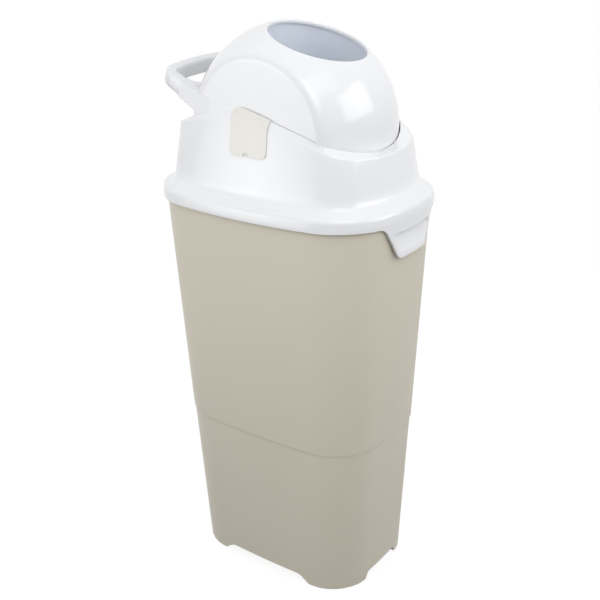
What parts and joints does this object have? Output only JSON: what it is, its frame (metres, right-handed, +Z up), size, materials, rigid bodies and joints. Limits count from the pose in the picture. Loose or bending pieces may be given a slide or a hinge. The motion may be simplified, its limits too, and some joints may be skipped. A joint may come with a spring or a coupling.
{
  "type": "nappy bin",
  "caption": "Tall tapered nappy bin with a hinged head, a round opening in a turning drum, a swing-over handle and a loose weighted piston that pushes the nappy out.",
  "frame": {"origin": "on the floor, under the middle of the bin", "axes": "+Z up; +X to the front, where the pull tab is; +Y to the left side, so the drum's axle runs along Y"},
  "size_m": [0.337, 0.2316, 0.7054],
  "materials": {
    "bin_plastic": "fine-grained satin",
    "head_plastic": "glossy",
    "handle_plastic": "glossy",
    "cap_plastic": "glossy",
    "inner_plastic": "satin",
    "seal_rubber": "matte",
    "steel": "plated"
  },
  "bodies": {
    "bin": {"bin_body": "bin_plastic", "hinge_pins": "steel"},
    "head": {"head_cover": "head_plastic", "seal_frame": "head_plastic", "drum_seal": "seal_rubber", "rim_gasket": "seal_rubber", "frame_screws": "steel", "pivot_cap_left": "cap_plastic", "pivot_cap_right": "cap_plastic", "pivot_bush_left": "inner_plastic", "pivot_bush_right": "inner_plastic"},
    "drum": {"drum_upper_shell": "head_plastic", "drum_lower_shell": "head_plastic", "drum_handle": "handle_plastic", "chute_tube": "inner_plastic", "trunnion_left": "inner_plastic", "trunnion_right": "inner_plastic"},
    "piston": {"piston_cup": "inner_plastic", "piston_lid": "inner_plastic", "piston_weight": "steel", "piston_rings": "seal_rubber", "piston_screw": "steel"}
  },
  "joints": [
    {"name": "head_hinge", "type": "hinge", "parent": "bin", "child": "head", "pos_m": [-0.1675, 0, 0.4945], "axis": [0, -1, 0], "range_deg": [0, 100]},
    {"name": "drum_flip", "type": "hinge", "parent": "head", "child": "drum", "pos_m": [0.003, 0, 0.587], "axis": [0, 1, 0], "range_deg": [0, 144]},
    {"name": "piston_slide", "type": "slide", "parent": "drum", "child": "piston", "axis": [0.309, 0, 0.9511], "range_m": [0, 0.1175]}
  ]
}
